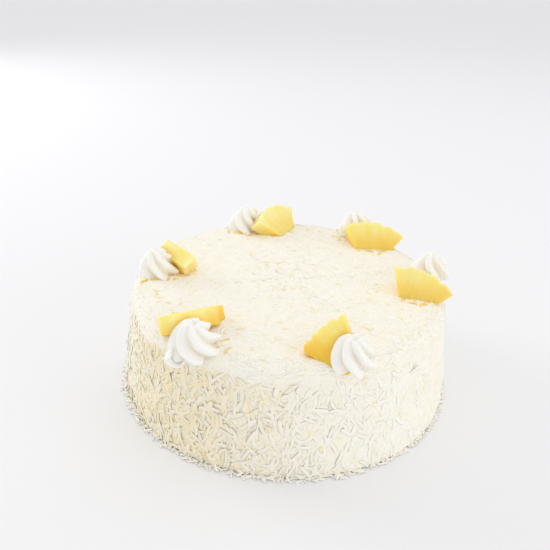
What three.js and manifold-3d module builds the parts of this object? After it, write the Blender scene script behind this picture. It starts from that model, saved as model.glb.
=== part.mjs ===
// Pina colada cake: an uncut round layer cake under a coat of coconut shreds,
// with six piped rosettes of whipped cream near the rim and a wedge of pineapple ring leaning on each.
// Millimetres, +Z up. The origin is the centre of the flat underside that the cake rests on.
import * as THREE from "three";
import { mergeVertices } from "three/addons/utils/BufferGeometryUtils.js";
import Module from "manifold-3d";

const wasm = await Module();
wasm.setup();

// Driving dimensions of the cake
const CAKE_HEIGHT = 72;
const TOP_RADIUS = 106;
const BASE_RADIUS = 114;
const SHOULDER_RADIUS = 8;
const FOOT_BEVEL = 1.5;
const LUMP_DEPTH = 0.9;
const CORE_SEGMENTS = 60;
const SIDE_STEPS = 4;
const SHOULDER_STEPS = 3;
const TOP_RING_SHARES = [0.62, 0.3];
const GAP = 0.3;

// Coconut shreds: a long bowed sliver each, half sunk in the cream
const SIDE_SHREDS_ROUND = 30;
const SIDE_SHRED_ROWS = 7;
const TOP_SHRED_SPACING = 17;
const FOOT_SHREDS = 36;
const SHRED_LENGTH = 11;
const SHRED_WIDTH = 2.6;
const SHRED_THICKNESS = 2.2;
const SHRED_BOW = 0.9;
const LOWEST_SHRED = 6;
const FOOT_REACH = 2;
const TOP_CLEARANCE = { rosette: 23, wedge: 27 };
const SIDE_CLEARANCE = { rosette: 18, wedge: 18 };

// Whipped cream rosette: star-nozzle folds that twist and coil up to a peak
const ROSETTE_RADIUS = 15.5;
const ROSETTE_HEIGHT = 20;
const ROSETTE_LOBES = 7;
const POINTS_PER_LOBE = 4;
const ROSETTE_LEVELS = 8;
const LOBE_DEPTH = 0.3;
const ROSETTE_TWIST = THREE.MathUtils.degToRad(80);
const COIL_DEPTH = 0.12;
const COIL_TURNS = 1.5;
const PEAK_RISE = 1.08;

// Pineapple: a wedge of a peeled and cored ring
const RING_OUTER_RADIUS = 42;
const RING_CORE_RADIUS = 14;
const WEDGE_THICKNESS = 11;
const WEDGE_BEVEL = 1.6;
const WEDGE_ARC_STEPS = 8;
const WEDGE_WAVE = 0.5;

// The six sets, anticlockwise from the front left as seen from above. Angles in degrees, places in mm.
// A rosette has the place of its foot, its drop below the cream's top, its lean out over the rim,
// its share of full size and the turn of its folds. A wedge has the place of its middle and that middle's
// height over the cream, the plan direction of its width, its lean back from upright,
// its tilt in its own plane, its share of full size and the sector of ring that it takes.
const SETS = [
  {
    rosette: { azimuth: -120.3, radius: 102.5, drop: 2.5, lean: 10, size: 1.0, turn: 10 },
    wedge: {
      azimuth: -131.6, radius: 90.2, height: 2.9,
      width: -153, lean: 57, tilt: -22, size: 0.99, sector: 70,
    },
  },
  {
    rosette: { azimuth: -70.2, radius: 100.5, drop: 2.5, lean: 10, size: 0.94, turn: 35 },
    wedge: {
      azimuth: -74.2, radius: 95, height: 4.5,
      width: -13.8, lean: 25, tilt: -49.7, size: 0.99, sector: 43,
    },
  },
  {
    rosette: { azimuth: 5.4, radius: 97.5, drop: 1, lean: 5, size: 0.94, turn: 60 },
    wedge: {
      azimuth: -11.1, radius: 87.3, height: 3.3,
      width: -14, lean: 23, tilt: 17, size: 0.91, sector: 66,
    },
  },
  {
    rosette: { azimuth: 56.3, radius: 97.4, drop: 1, lean: 5, size: 1.0, turn: 20 },
    wedge: {
      azimuth: 44, radius: 89, height: 2.8,
      width: 3, lean: 34, tilt: 10, size: 1.0, sector: 67,
    },
  },
  {
    rosette: { azimuth: 111.5, radius: 93.4, drop: 2, lean: 2, size: 0.95, turn: 48 },
    wedge: {
      azimuth: 97.1, radius: 88.4, height: 4.6,
      width: 60, lean: 45, tilt: 3, size: 0.92, sector: 76,
    },
  },
  {
    rosette: { azimuth: 179.4, radius: 89, drop: 1.5, lean: 0, size: 0.94, turn: 5 },
    wedge: {
      azimuth: 173.6, radius: 78.1, height: 5.2,
      width: 138.4, lean: 25, tilt: -122.5, size: 0.94, sector: 44,
    },
  },
];

const coconut = new THREE.MeshStandardMaterial({ color: 0xfbf5e4, roughness: 0.8, metalness: 0 });
const cream = new THREE.MeshStandardMaterial({ color: 0xfffefb, roughness: 0.45, metalness: 0 });
const pineapple = new THREE.MeshStandardMaterial({ color: 0xffdd6b, roughness: 0.3, metalness: 0 });

// Random draws in a fixed order, from a seed
function seededRandom(seed) {
  let state = seed;
  return () => {
    state = (state + 0x6d2b79f5) | 0;
    let t = Math.imul(state ^ (state >>> 15), 1 | state);
    t = (t + Math.imul(t ^ (t >>> 7), 61 | t)) ^ t;
    return ((t ^ (t >>> 14)) >>> 0) / 4294967296;
  };
}

const random = seededRandom(20);
const between = (low, high) => low + (high - low) * random();
const radians = THREE.MathUtils.degToRad;
const UP = new THREE.Vector3(0, 0, 1);

function polar(azimuth, radius, height = 0) {
  return new THREE.Vector3(radius * Math.cos(radians(azimuth)), radius * Math.sin(radians(azimuth)), height);
}

// A closed three.js geometry as a manifold solid
function solidOf(geometry) {
  const bare = geometry.clone();
  bare.deleteAttribute("normal");
  bare.deleteAttribute("uv");
  const merged = mergeVertices(bare, 1e-4);
  return new wasm.Manifold(
    new wasm.Mesh({
      numProp: 3,
      vertProperties: new Float32Array(merged.attributes.position.array),
      triVerts: new Uint32Array(merged.index.array),
    }),
  );
}

// A manifold solid as a named three.js mesh
function meshOf(solid, name, material) {
  const { numProp, numVert, vertProperties, triVerts } = solid.getMesh();
  const positions = new Float32Array(numVert * 3);
  for (let i = 0; i < numVert; i++) {
    const start = i * numProp;
    positions.set(vertProperties.subarray(start, start + 3), i * 3);
  }
  const geometry = new THREE.BufferGeometry();
  geometry.setAttribute("position", new THREE.BufferAttribute(positions, 3));
  geometry.setIndex(new THREE.BufferAttribute(new Uint32Array(triVerts), 1));
  geometry.computeVertexNormals();
  const mesh = new THREE.Mesh(geometry, material);
  mesh.name = name;
  return mesh;
}

// Radius of the cake's side at a height, before lumps: a flare down to the foot, where the coat piles up
function sideRadius(height) {
  return BASE_RADIUS + ((TOP_RADIUS - BASE_RADIUS) * height) / CAKE_HEIGHT;
}

// The hand-spread cream under the coat is never quite even
function lump(angle, height) {
  return (Math.sin(5 * angle + height / 9) + Math.sin(11 * angle - height / 6) + Math.sin(17 * angle)) / 3;
}

// Half section of the uncut cake: flat foot, flared side, rounded shoulder, flat top
function coreProfile() {
  const profile = [new THREE.Vector2(0, 0), new THREE.Vector2(BASE_RADIUS - FOOT_BEVEL, 0)];
  const shoulderFoot = CAKE_HEIGHT - SHOULDER_RADIUS;
  for (let i = 0; i <= SIDE_STEPS; i++) {
    const height = FOOT_BEVEL + ((shoulderFoot - FOOT_BEVEL) * i) / SIDE_STEPS;
    profile.push(new THREE.Vector2(sideRadius(height), height));
  }
  const shoulderCentre = sideRadius(shoulderFoot) - SHOULDER_RADIUS;
  for (let i = 1; i <= SHOULDER_STEPS; i++) {
    const a = (Math.PI / 2) * (i / SHOULDER_STEPS);
    const out = shoulderCentre + SHOULDER_RADIUS * Math.cos(a);
    profile.push(new THREE.Vector2(out, shoulderFoot + SHOULDER_RADIUS * Math.sin(a)));
  }
  for (const share of TOP_RING_SHARES) profile.push(new THREE.Vector2(shoulderCentre * share, CAKE_HEIGHT));
  profile.push(new THREE.Vector2(0, CAKE_HEIGHT));
  return profile;
}

// The uncut cake with its slightly lumpy skin, grown all over by an allowance
function cakeCore(grow = 0) {
  const core = new THREE.LatheGeometry(coreProfile(), CORE_SEGMENTS);
  core.rotateX(Math.PI / 2);
  const position = core.attributes.position;
  for (let i = 0; i < position.count; i++) {
    const [x, y, z] = [position.getX(i), position.getY(i), position.getZ(i)];
    const radius = Math.hypot(x, y);
    if (z < FOOT_BEVEL / 2) continue;
    const wave = radius < 1 ? 0 : lump(Math.atan2(y, x), z);
    const onSide = THREE.MathUtils.smoothstep(CAKE_HEIGHT - z, 0, SHOULDER_RADIUS);
    const out = radius < 1 ? 1 : (radius + LUMP_DEPTH * wave * onSide + grow) / radius;
    const dip = (1 - onSide) * LUMP_DEPTH * 0.5 * (1 + wave);
    position.setXYZ(i, x * out, y * out, z - dip + grow);
  }
  return solidOf(core);
}

// One shred of coconut in its XY plane: a long octahedron whose middle is bowed to one side
function shred(length, width, bow) {
  const strip = new THREE.OctahedronGeometry(1).scale(length / 2, width / 2, SHRED_THICKNESS / 2);
  const position = strip.attributes.position;
  for (let i = 0; i < position.count; i++) {
    if (Math.abs(position.getX(i)) < length / 4) position.setY(i, position.getY(i) + bow);
  }
  return strip;
}

function randomShred(share = 1) {
  const length = SHRED_LENGTH * share * between(0.75, 1.25);
  const width = SHRED_WIDTH * share * between(0.8, 1.15);
  return shred(length, width, between(-SHRED_BOW, SHRED_BOW));
}

// Sets a shred on a surface point, turned about the normal by spin and lifted at one end by lift
function placeShred(geometry, point, normal, spin, lift) {
  const upright = new THREE.Quaternion().setFromUnitVectors(UP, normal);
  const turned = new THREE.Quaternion().setFromEuler(new THREE.Euler(0, lift, spin, "ZYX"));
  return geometry.applyQuaternion(upright.multiply(turned)).translate(point.x, point.y, point.z);
}

function clearOfToppings(point, clearance) {
  return SETS.every(({ rosette, wedge }) => {
    const fromRosette = point.distanceTo(polar(rosette.azimuth, rosette.radius, CAKE_HEIGHT));
    const fromWedge = point.distanceTo(polar(wedge.azimuth, wedge.radius, CAKE_HEIGHT));
    return fromRosette > clearance.rosette && fromWedge > clearance.wedge;
  });
}

function sideShreds() {
  const shreds = [];
  const highest = CAKE_HEIGHT - SHOULDER_RADIUS + 2;
  const rowHeight = (highest - LOWEST_SHRED) / SIDE_SHRED_ROWS;
  for (let row = 0; row < SIDE_SHRED_ROWS; row++) {
    for (let step = 0; step < SIDE_SHREDS_ROUND; step++) {
      const angle = (2 * Math.PI * (step + (row % 2) / 2 + between(-0.3, 0.3))) / SIDE_SHREDS_ROUND;
      const height = LOWEST_SHRED + rowHeight * (row + between(0.1, 1));
      const normal = new THREE.Vector3(Math.cos(angle), Math.sin(angle), 0);
      const point = normal.clone().multiplyScalar(sideRadius(height) + LUMP_DEPTH * lump(angle, height));
      point.z = height;
      const spin = Math.PI / 2 + between(-1.3, 1.3);
      const laid = placeShred(randomShred(), point, normal, spin, between(-0.34, 0.34));
      if (clearOfToppings(point, SIDE_CLEARANCE)) shreds.push(laid);
    }
  }
  return shreds;
}

// Shreds that fell to the foot lie against the side, just clear of the plane below
function footShreds() {
  const shreds = [];
  for (let step = 0; step < FOOT_SHREDS; step++) {
    const angle = (2 * Math.PI * (step + between(-0.35, 0.35))) / FOOT_SHREDS;
    const reach = BASE_RADIUS + between(-FOOT_REACH, 0.5);
    const point = new THREE.Vector3(Math.cos(angle) * reach, Math.sin(angle) * reach, SHRED_THICKNESS * 0.75);
    const spin = angle + between(-0.9, 0.9);
    shreds.push(placeShred(randomShred(0.85), point, UP, spin, 0));
  }
  return shreds;
}

// Rings of shreds, evenly spread over the flat of the top where no topping stands
function topShreds() {
  const shreds = [];
  const sunk = CAKE_HEIGHT - LUMP_DEPTH / 2;
  const rings = Math.floor((TOP_RADIUS - SHOULDER_RADIUS) / TOP_SHRED_SPACING);
  for (let ring = 0; ring <= rings; ring++) {
    const count = Math.max(1, Math.round(2 * Math.PI * ring));
    for (let step = 0; step < count; step++) {
      const angle = (360 * (step + between(-0.3, 0.3))) / count;
      const point = polar(angle, TOP_SHRED_SPACING * (ring + between(-0.24, 0.24)), sunk);
      const laid = placeShred(randomShred(), point, UP, between(0, Math.PI), between(-0.08, 0.08));
      if (clearOfToppings(point, TOP_CLEARANCE)) shreds.push(laid);
    }
  }
  return shreds;
}

function cakeBody() {
  let body = cakeCore();
  for (const strip of [...sideShreds(), ...topShreds(), ...footShreds()]) body = body.add(solidOf(strip));
  return body;
}

// Radius share of the cream at a height share: a slightly drawn-in foot under a dome
function rosetteProfile(level) {
  const foot = 0.86 + 0.14 * Math.sin(Math.PI * Math.min(level / 0.36, 1));
  const dome = Math.pow(1 - Math.pow(level, 2.2), 0.6);
  return Math.max(0.05, Math.min(foot, 1.02 * dome));
}

// The folds of a star nozzle: round lobes with sharp grooves, twisted, with a coil's waist winding up
function rosette({ size, turn }) {
  const around = ROSETTE_LOBES * POINTS_PER_LOBE;
  const vertices = [];
  const faces = [];
  for (let i = 0; i <= ROSETTE_LEVELS; i++) {
    const level = i / ROSETTE_LEVELS;
    for (let j = 0; j < around; j++) {
      const angle = (2 * Math.PI * j) / around;
      const fold = LOBE_DEPTH * Math.pow(1 - Math.abs(Math.sin((ROSETTE_LOBES * angle) / 2)), 1.4);
      const winding = 0.5 - 0.5 * Math.cos(2 * Math.PI * COIL_TURNS * level + angle);
      const coil = COIL_DEPTH * winding * Math.sin(Math.PI * level);
      const radius = ROSETTE_RADIUS * size * rosetteProfile(level) * (1 - fold) * (1 - coil);
      const turned = angle - ROSETTE_TWIST * level + radians(turn);
      vertices.push(radius * Math.cos(turned), radius * Math.sin(turned), ROSETTE_HEIGHT * size * level);
    }
  }
  for (let i = 0; i < ROSETTE_LEVELS; i++) {
    for (let j = 0; j < around; j++) {
      const [a, b] = [i * around + j, i * around + ((j + 1) % around)];
      faces.push(a, b, b + around, a, b + around, a + around);
    }
  }
  const foot = vertices.length / 3;
  const peak = foot + 1;
  vertices.push(0, 0, 0, 0, 0, ROSETTE_HEIGHT * size * PEAK_RISE);
  for (let j = 0; j < around; j++) {
    const next = (j + 1) % around;
    faces.push(foot, next, j, peak, ROSETTE_LEVELS * around + j, ROSETTE_LEVELS * around + next);
  }
  const geometry = new THREE.BufferGeometry();
  geometry.setAttribute("position", new THREE.Float32BufferAttribute(vertices, 3));
  geometry.setIndex(faces);
  return geometry;
}

// Sets a rosette near the rim, leaning out over it
function placeRosette(geometry, { azimuth, radius, drop, lean }) {
  const place = polar(azimuth, radius, CAKE_HEIGHT - drop);
  return geometry.rotateY(radians(lean)).rotateZ(radians(azimuth)).translate(place.x, place.y, place.z);
}

// A wedge of ring in its own plane, arc up along +Y, its thickness along Z, grown all round by an allowance
function wedge({ size, sector }, grow = 0) {
  const outline = [];
  const half = radians(sector / 2);
  const inset = WEDGE_BEVEL - grow;
  const outer = RING_OUTER_RADIUS * size - inset;
  const inner = RING_CORE_RADIUS * size + inset;
  for (let i = 0; i <= WEDGE_ARC_STEPS; i++) {
    const share = (2 * i) / WEDGE_ARC_STEPS - 1;
    const angle = share * (half - inset / outer);
    const radius = outer + WEDGE_WAVE * Math.sin(5 * share + size * 40);
    outline.push(new THREE.Vector2(radius * Math.sin(angle), radius * Math.cos(angle)));
  }
  for (let i = WEDGE_ARC_STEPS / 2; i >= 0; i--) {
    const share = (4 * i) / WEDGE_ARC_STEPS - 1;
    const angle = share * (half - inset / inner);
    outline.push(new THREE.Vector2(inner * Math.sin(angle), inner * Math.cos(angle)));
  }
  const depth = WEDGE_THICKNESS - 2 * WEDGE_BEVEL + 2 * grow;
  const slab = new THREE.ExtrudeGeometry(new THREE.Shape(outline), {
    depth,
    bevelThickness: WEDGE_BEVEL,
    bevelSize: WEDGE_BEVEL,
    bevelSegments: 2,
  });
  return slab.translate(0, 0, -depth / 2);
}

// Stands a wedge in its place, turned about its middle
function placeWedge(geometry, { azimuth, radius, height, width, lean, tilt, size }) {
  const middle = (size * (RING_OUTER_RADIUS + RING_CORE_RADIUS)) / 2;
  const place = polar(azimuth, radius, CAKE_HEIGHT + height);
  return geometry
    .translate(0, -middle, 0)
    .rotateZ(-radians(tilt))
    .rotateX(Math.PI / 2 - radians(lean))
    .rotateZ(radians(width))
    .translate(place.x, place.y, place.z);
}

// All that is above the cream's top: a wedge stands flat on it
function aboveTop() {
  const reach = 4 * TOP_RADIUS;
  const room = new THREE.BoxGeometry(reach, reach, CAKE_HEIGHT);
  return solidOf(room.translate(0, 0, CAKE_HEIGHT * 1.5 + GAP));
}

const cake = new THREE.Group();
cake.add(meshOf(cakeBody(), "cake_body", coconut));
const cakeRoom = cakeCore(GAP);
SETS.forEach((set, index) => {
  const slice = solidOf(placeWedge(wedge(set.wedge), set.wedge)).intersect(aboveTop());
  const sliceRoom = solidOf(placeWedge(wedge(set.wedge, GAP), set.wedge));
  const swirl = solidOf(placeRosette(rosette(set.rosette), set.rosette)).subtract(cakeRoom);
  cake.add(meshOf(swirl.subtract(sliceRoom), `rosette_${index + 1}`, cream));
  cake.add(meshOf(slice, `pineapple_${index + 1}`, pineapple));
});

// The middle of the cake's outline stands over the origin
const bounds = new THREE.Box3().setFromObject(cake);
const middle = bounds.getCenter(new THREE.Vector3());
cake.position.set(-middle.x, -middle.y, 0);

export default cake;
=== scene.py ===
"""Pina colada cake: a layer cake in a coat of coconut, with whipped cream rosettes and pineapple wedges."""
import math

import bmesh
import bpy
import numpy as np
from bpy.props import FloatProperty, FloatVectorProperty, IntProperty, PointerProperty
from bpy.types import Operator, Panel, PropertyGroup
from mathutils import Matrix, Vector, noise


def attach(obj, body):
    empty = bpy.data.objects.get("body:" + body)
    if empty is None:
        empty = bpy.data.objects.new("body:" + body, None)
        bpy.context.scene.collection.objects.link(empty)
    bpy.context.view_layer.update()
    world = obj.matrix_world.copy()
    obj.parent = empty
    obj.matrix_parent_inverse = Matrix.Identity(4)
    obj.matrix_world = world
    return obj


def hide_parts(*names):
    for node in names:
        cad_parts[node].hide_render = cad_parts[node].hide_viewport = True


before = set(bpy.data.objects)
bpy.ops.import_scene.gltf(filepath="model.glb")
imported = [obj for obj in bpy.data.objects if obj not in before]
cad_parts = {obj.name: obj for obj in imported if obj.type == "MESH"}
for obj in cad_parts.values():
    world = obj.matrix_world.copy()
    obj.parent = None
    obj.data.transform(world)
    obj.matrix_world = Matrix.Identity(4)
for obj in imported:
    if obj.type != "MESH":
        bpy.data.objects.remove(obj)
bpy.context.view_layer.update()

bl_info = {
    "name": "Pina colada cake",
    "version": (1, 0, 0),
    "blender": (4, 5, 0),
    "location": "3D View > Sidebar > Cake",
    "description": "Models a coconut-coated layer cake with whipped cream rosettes and pineapple wedges",
    "category": "Add Mesh",
}

BODY = "root"
MM = 0.001
FULL_TURN = 2 * math.pi
UP = (0.0, 0.0, 1.0)
# Seeds of the random draws
SEEDS = {"side": 11, "top": 23, "foot": 37, "soaked": 41, "cream": 5}

# The cake's own middle in plan, in the frame's coordinates
CAKE_MIDDLE = Vector((-0.00074, -0.00062, 0.0))
MIDDLE = np.array(CAKE_MIDDLE)

# The six sets of toppings, anticlockwise from the front left. Angles in degrees, lengths in metres.
# rosette: azimuth, radius, drop below the cream's top, lean out over the rim, size, turn of its folds
# wedge: azimuth, radius, height of its middle, plan direction of its width, lean, tilt, size, sector of
# ring, depth of its yellow from 0 to 1
TOPPINGS = (
    ((-120.3, 0.1025, 0.0025, 10, 1.00, -16), (-131.6, 0.0902, 0.0029, -153.0, 57, -22.0, 0.99, 70, 1.0)),
    ((-70.2, 0.1005, 0.0025, 10, 0.94, 62), (-74.2, 0.0950, 0.0045, -13.8, 25, -49.7, 0.99, 43, 1.0)),
    ((5.4, 0.0975, 0.0010, 5, 0.94, 60), (-11.1, 0.0873, 0.0033, -14.0, 23, 17.0, 0.91, 66, 0.45)),
    ((56.3, 0.0974, 0.0010, 5, 1.00, 20), (44.0, 0.0890, 0.0028, 3.0, 34, 10.0, 1.00, 67, 0.6)),
    ((111.5, 0.0934, 0.0020, 2, 0.95, 48), (97.1, 0.0884, 0.0046, 60.0, 45, 3.0, 0.92, 76, 0.2)),
    ((179.4, 0.0890, 0.0015, 0, 0.94, 5), (173.6, 0.0781, 0.0052, 138.4, 25, -122.5, 0.94, 44, 0.0)),
)

# Waves of the hand-spread cream: how many go round the cake, and the height over which each shifts
LUMP_WAVES = ((5, 0.009), (11, -0.006), (17, math.inf))
SWELLS_PER_METRE = 60
# Share of the waves' depth by which they lower the top
TOP_DIP = 0.4

# The core's mesh
CORE_SIDES = 240
CORE_ROWS = 24
TOP_RINGS = 9
SHOULDER_STEPS = 8

# Where a flake narrows: axis, end along it, share of length, width and thickness left there
FLAKE_TAPERS = ((2, 0.5, (0.94, 0.62, 1)), (0, 0.5, (1, 0.62, 0.7)), (0, -0.5, (1, 0.42, 0.7)))
# Steps that spread pairs evenly over a square
EVEN_STEPS = (0.7548776662, 0.5698402910)
FLOOR_GAP = 0.05 * MM
# How far its lifted end raises a shred's middle, and the depth below which painted shade tints the coat to
# stand in for the shade in its crevices
END_RISE = 0.35
CREVICE_SHADE_DEPTH = 1.2 * MM

# Directions of the coat's roughest part, of the painted shade on its front left, and of its half behind
ROUGHEST = math.radians(-125)
SHADIEST = math.radians(-130)
BEHIND = math.radians(70)

# Height share and radius share of a rosette's rings, from foot to crown and down into the dimple
ROSETTE_RINGS = (
    (0.05, 0.97), (0.14, 1.0), (0.24, 1.0), (0.34, 0.97), (0.43, 0.92), (0.52, 0.85), (0.6, 0.79),
    (0.68, 0.72), (0.76, 0.64), (0.84, 0.55), (0.91, 0.45), (0.97, 0.35), (1.0, 0.26), (0.99, 0.18),
    (0.94, 0.1), (0.9, 0.04),
)
RINGS_TO_CROWN = 13
# Radius share at the very foot
ROSETTE_FOOT = 0.9
# Points of a fold from one groove to the next, and the share of the radius at some of them
POINTS_PER_FOLD = 6
FOLD_SHAPE = ((1, 0.74), (2, 0.91), (4, 0.95), (5, 0.8))
TIP_BEND = 0.7
# Unevenness of piped cream, coarse and fine: waves to a metre and how deep they are
COARSE_WAVES, COARSE_DEPTH = 110, 1.0 * MM
FINE_WAVES, FINE_DEPTH = 700, 0.1 * MM

# Middle of the curl below the first rosette, from the cake's middle, and its turns in degrees
CURL_PLACE = Vector((-0.0612, -0.0985, 0.0702))
CURL_TURNS = ((-12, "Z"), (15, "X"), (60, "Y"))
CURL_SIDES = 14
CURL_STEPS = 14
CURL_STEP_TURN = math.radians(17)
CURL_FLATNESS = 0.36
CURL_NARROWING = 0.011

# The wedge's mesh, and the eyes of the fruit along its rim
WEDGE_STEPS, WEDGE_ROWS, WEDGE_LAYERS = 28, 9, 3
EYES_ALONG_RIM = 3.4
SEAM_DEPTH = 0.3 * MM

# name, place, what it shines at, diameter, watts, colour
LIGHTS = (
    ("overhead", (0.5, 0.7, 1.7), (0, 0, 0.04), 2.2, 2.0, (1.0, 1.0, 0.99)),
    ("right_panel", (1.5, -0.7, 0.7), (0, 0, 0.05), 1.2, 3.4, (1.0, 0.99, 0.98)),
    ("left_panel", (-1.4, 0.8, 0.6), (0, 0, 0.05), 1.0, 7.0, (1.0, 1.0, 0.99)),
    ("front_panel", (0.6, -1.5, 0.45), (0, 0, 0.04), 1.3, 1.2, (1.0, 1.0, 1.0)),
)
SURROUNDING_LIGHT = 0.87
FLOOR_SIZE = 60
# The camera's place and aim from the cake's middle, its roll in degrees, and its sensor and lens in mm
CAMERA_PLACE = Vector((-9.5, -374.5, 261.8)) * MM
CAMERA_AIM = Vector((-9.5, 0, 73.5)) * MM
CAMERA_ROLL = 2.3
SENSOR, LENS = 36.0, 40.18


def linear(red, green, blue):
    """Linear colour of a display colour given from 0 to 255."""
    shares = (red / 255, green / 255, blue / 255)
    return tuple(c / 12.92 if c <= 0.04045 else ((c + 0.055) / 1.055) ** 2.4 for c in shares)


def length_of(name, description, default):
    return FloatProperty(
        name=name, description=description, default=default, min=0.0, unit="LENGTH", precision=5
    )


def count_of(name, description, default):
    return IntProperty(name=name, description=description, default=default, min=3)


def colour_of(name, description, default):
    return FloatVectorProperty(
        name=name, description=description, default=linear(*default), min=0.0, max=1.0, subtype="COLOR"
    )


class CakeSizes(PropertyGroup):
    height: length_of("Height", "Top of the cream above the foot", 72 * MM)
    top_radius: length_of("Top radius", "Radius of the cream's top, its edge still square", 105 * MM)
    foot_radius: length_of("Foot radius", "Radius of the cream at the foot", 112.6 * MM)
    shoulder: length_of("Shoulder", "Radius of the rounded edge of the top", 8 * MM)
    foot_bevel: length_of("Foot bevel", "Small rounding of the foot", 1.5 * MM)
    lump_depth: length_of("Lumps", "Depth of the waves in the hand-spread cream", 0.9 * MM)
    swell: length_of("Swell", "Depth of the soft hollows in the side", 0.8 * MM)


class CoatSizes(PropertyGroup):
    side_pressed: count_of("Pressed shreds", "Places for shreds that lie flat on the side", 3600)
    side_proud: count_of("Proud shreds", "Places for shreds whose ends stand off the side", 3400)
    top: count_of("Top shreds", "Fine shreds pressed into the top", 4700)
    shoulder: count_of("Shoulder shreds", "Fine shreds pressed into the shoulder", 2300)
    foot: count_of("Fallen shreds", "Shreds that fell to the foot", 760)
    soaked: count_of("Soaked shreds", "Places for juice-soaked shreds round each topping", 36)
    stray: count_of("Stray shreds", "Yellow shreds scattered over the top", 100)
    length: length_of("Length", "Mean length of a shred of the side", 8.6 * MM)
    width: length_of("Width", "Mean width of a shred of the side", 2.3 * MM)
    thickness: length_of("Thickness", "Thickness of a shred of the side where it is rough", 0.4 * MM)
    fine_length: length_of("Fine length", "Mean length of a shred of the top", 5.2 * MM)
    fine_width: length_of("Fine width", "Mean width of a shred of the top", 1.7 * MM)
    fine_thickness: length_of("Fine thickness", "Thickness of a shred of the top", 0.2 * MM)


class RosetteSizes(PropertyGroup):
    radius: length_of("Radius", "Radius over the folds at full size", 15.5 * MM)
    height: length_of("Height", "Height at full size", 20 * MM)
    lobes: count_of("Folds", "Folds that the star nozzle leaves", 6)
    groove: FloatProperty(name="Groove", description="Share of the radius left in a groove", default=0.52)
    twist: FloatProperty(
        name="Twist", description="Turn of the folds up to the tip", default=math.radians(95), unit="ROTATION"
    )
    curl_width: length_of("Curl width", "Width of the curled end of cream", 8 * MM)
    curl_radius: length_of("Curl radius", "Radius of the curled end of cream", 4.6 * MM)


class WedgeSizes(PropertyGroup):
    ring_radius: length_of("Ring radius", "Outer radius of the pineapple ring at full size", 42 * MM)
    core_radius: length_of("Core radius", "Radius of the hole left by the core", 14 * MM)
    thickness: length_of("Thickness", "Thickness of the ring", 11 * MM)
    edge: length_of("Edge", "Rounding of the cut edges", 1.3 * MM)
    scallop: length_of("Scallop", "Depth of the notches in the ring's outside", 0.9 * MM)
    fibre: length_of("Fibre", "Height of the fibres on the cut faces", 0.25 * MM)


class CakeColours(PropertyGroup):
    coconut: colour_of("Coconut", "Dry coconut", (253, 251, 245))
    # Warm coconut is the tone of some shreds and of the cream's mottle, and also the colour towards which
    # painted shade turns the coat in its crevices and on its shaded front left
    coconut_warm: colour_of("Warm coconut", "The creamier shreds", (246, 240, 223))
    coconut_yellow: colour_of("Yellow coconut", "Shreds touched by juice", (252, 232, 172))
    juice: colour_of("Juice", "Shreds soaked at the foot of the fruit", (250, 196, 72))
    under_cream: colour_of("Cream under the coat", "Cream between the shreds", (251, 246, 230))
    cream: colour_of("Whipped cream", "Piped cream", (247, 245, 239))
    # Painted shade: a warm colour for the cream deep between the folds, where the folds shade it
    painted_fold_shade: colour_of("Cream in the folds", "Warmer cream deep between the folds", (246, 228, 200))
    flesh: colour_of("Pineapple", "Flesh of the pineapple", (255, 230, 106))
    flesh_pale: colour_of("Pale pineapple", "Rim and fibres of the pineapple", (255, 240, 174))
    # Painted shade: deep gold for the flesh at a wedge's foot and where its rosette shades it
    flesh_in_shade: colour_of("Deep pineapple", "Flesh where a wedge is wet", (255, 197, 10))
    floor: colour_of("Floor", "The plain floor", (243, 243, 245))


def feed(tree, socket, value):
    """Links a signal to a socket, or sets the socket to a plain value."""
    if isinstance(value, Signal):
        tree.links.new(value.socket, socket)
    else:
        socket.default_value = value


class Signal:
    """A number or colour that travels from one shader node to the next."""

    def __init__(self, tree, socket):
        self.tree = tree
        self.socket = socket

    def math(self, operation, first, second):
        node = self.tree.nodes.new("ShaderNodeMath")
        node.operation = operation
        for socket, value in zip(node.inputs, (first, second)):
            feed(self.tree, socket, value)
        return Signal(self.tree, node.outputs[0])

    def __add__(self, other):
        return self.math("ADD", self, other)

    __radd__ = __add__

    def __mul__(self, other):
        return self.math("MULTIPLY", self, other)

    def __sub__(self, other):
        return self.math("SUBTRACT", self, other)

    def __rsub__(self, other):
        return self.math("SUBTRACT", other, self)


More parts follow.
